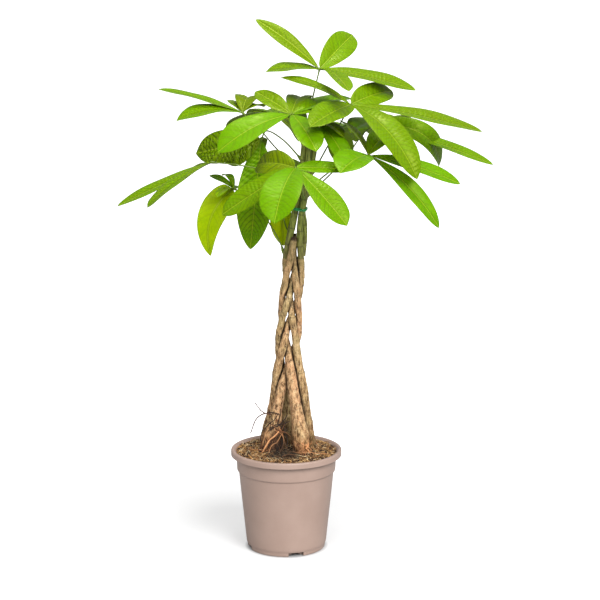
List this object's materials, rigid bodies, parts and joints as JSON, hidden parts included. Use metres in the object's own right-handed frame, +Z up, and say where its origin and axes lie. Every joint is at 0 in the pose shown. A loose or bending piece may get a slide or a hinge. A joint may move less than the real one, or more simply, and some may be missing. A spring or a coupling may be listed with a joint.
{
  "type": "potted money tree",
  "caption": "Money tree with a braided trunk and a crown of palmate fronds, growing in a tapered plastic nursery pot.",
  "frame": {"origin": "middle of the pot's underside, on the surface that it stands on", "axes": "+Z up along the pot's axis; the plant is seen from the front by looking along +Y"},
  "size_m": [0.5667, 0.3881, 0.8194],
  "materials": {
    "pot_plastic": "satin moulded polypropylene, taupe",
    "soil": "loose peat and coir",
    "bark": "smooth young bark with scars",
    "green_bark": "smooth green bark",
    "leaf": "glossy waxy leaf",
    "pale_leaf": "glossy waxy leaf, yellow-green",
    "tie_plastic": "smooth green plastic"
  },
  "bodies": {
    "root": {"pot": "pot_plastic", "soil": "soil", "stem_left_front": "bark", "stem_left_back": "bark", "stem_right_front": "bark", "stem_right": "bark", "stem_back": "bark", "shoot_left": "green_bark", "shoot_front": "green_bark", "shoot_right": "green_bark", "tie": "tie_plastic", "frond_top": "leaf", "frond_right_upper": "leaf", "frond_left_front": "leaf", "frond_right_back": "leaf", "frond_right_lower": "leaf", "frond_front": "leaf", "frond_hanging": "leaf", "frond_left_lower": "leaf", "frond_left_upper": "leaf", "frond_pale_left": "pale_leaf", "frond_pale_inner": "pale_leaf", "frond_centre": "leaf", "frond_back_left": "leaf", "frond_back_right": "leaf", "frond_back_low": "leaf"}
  },
  "joints": []
}
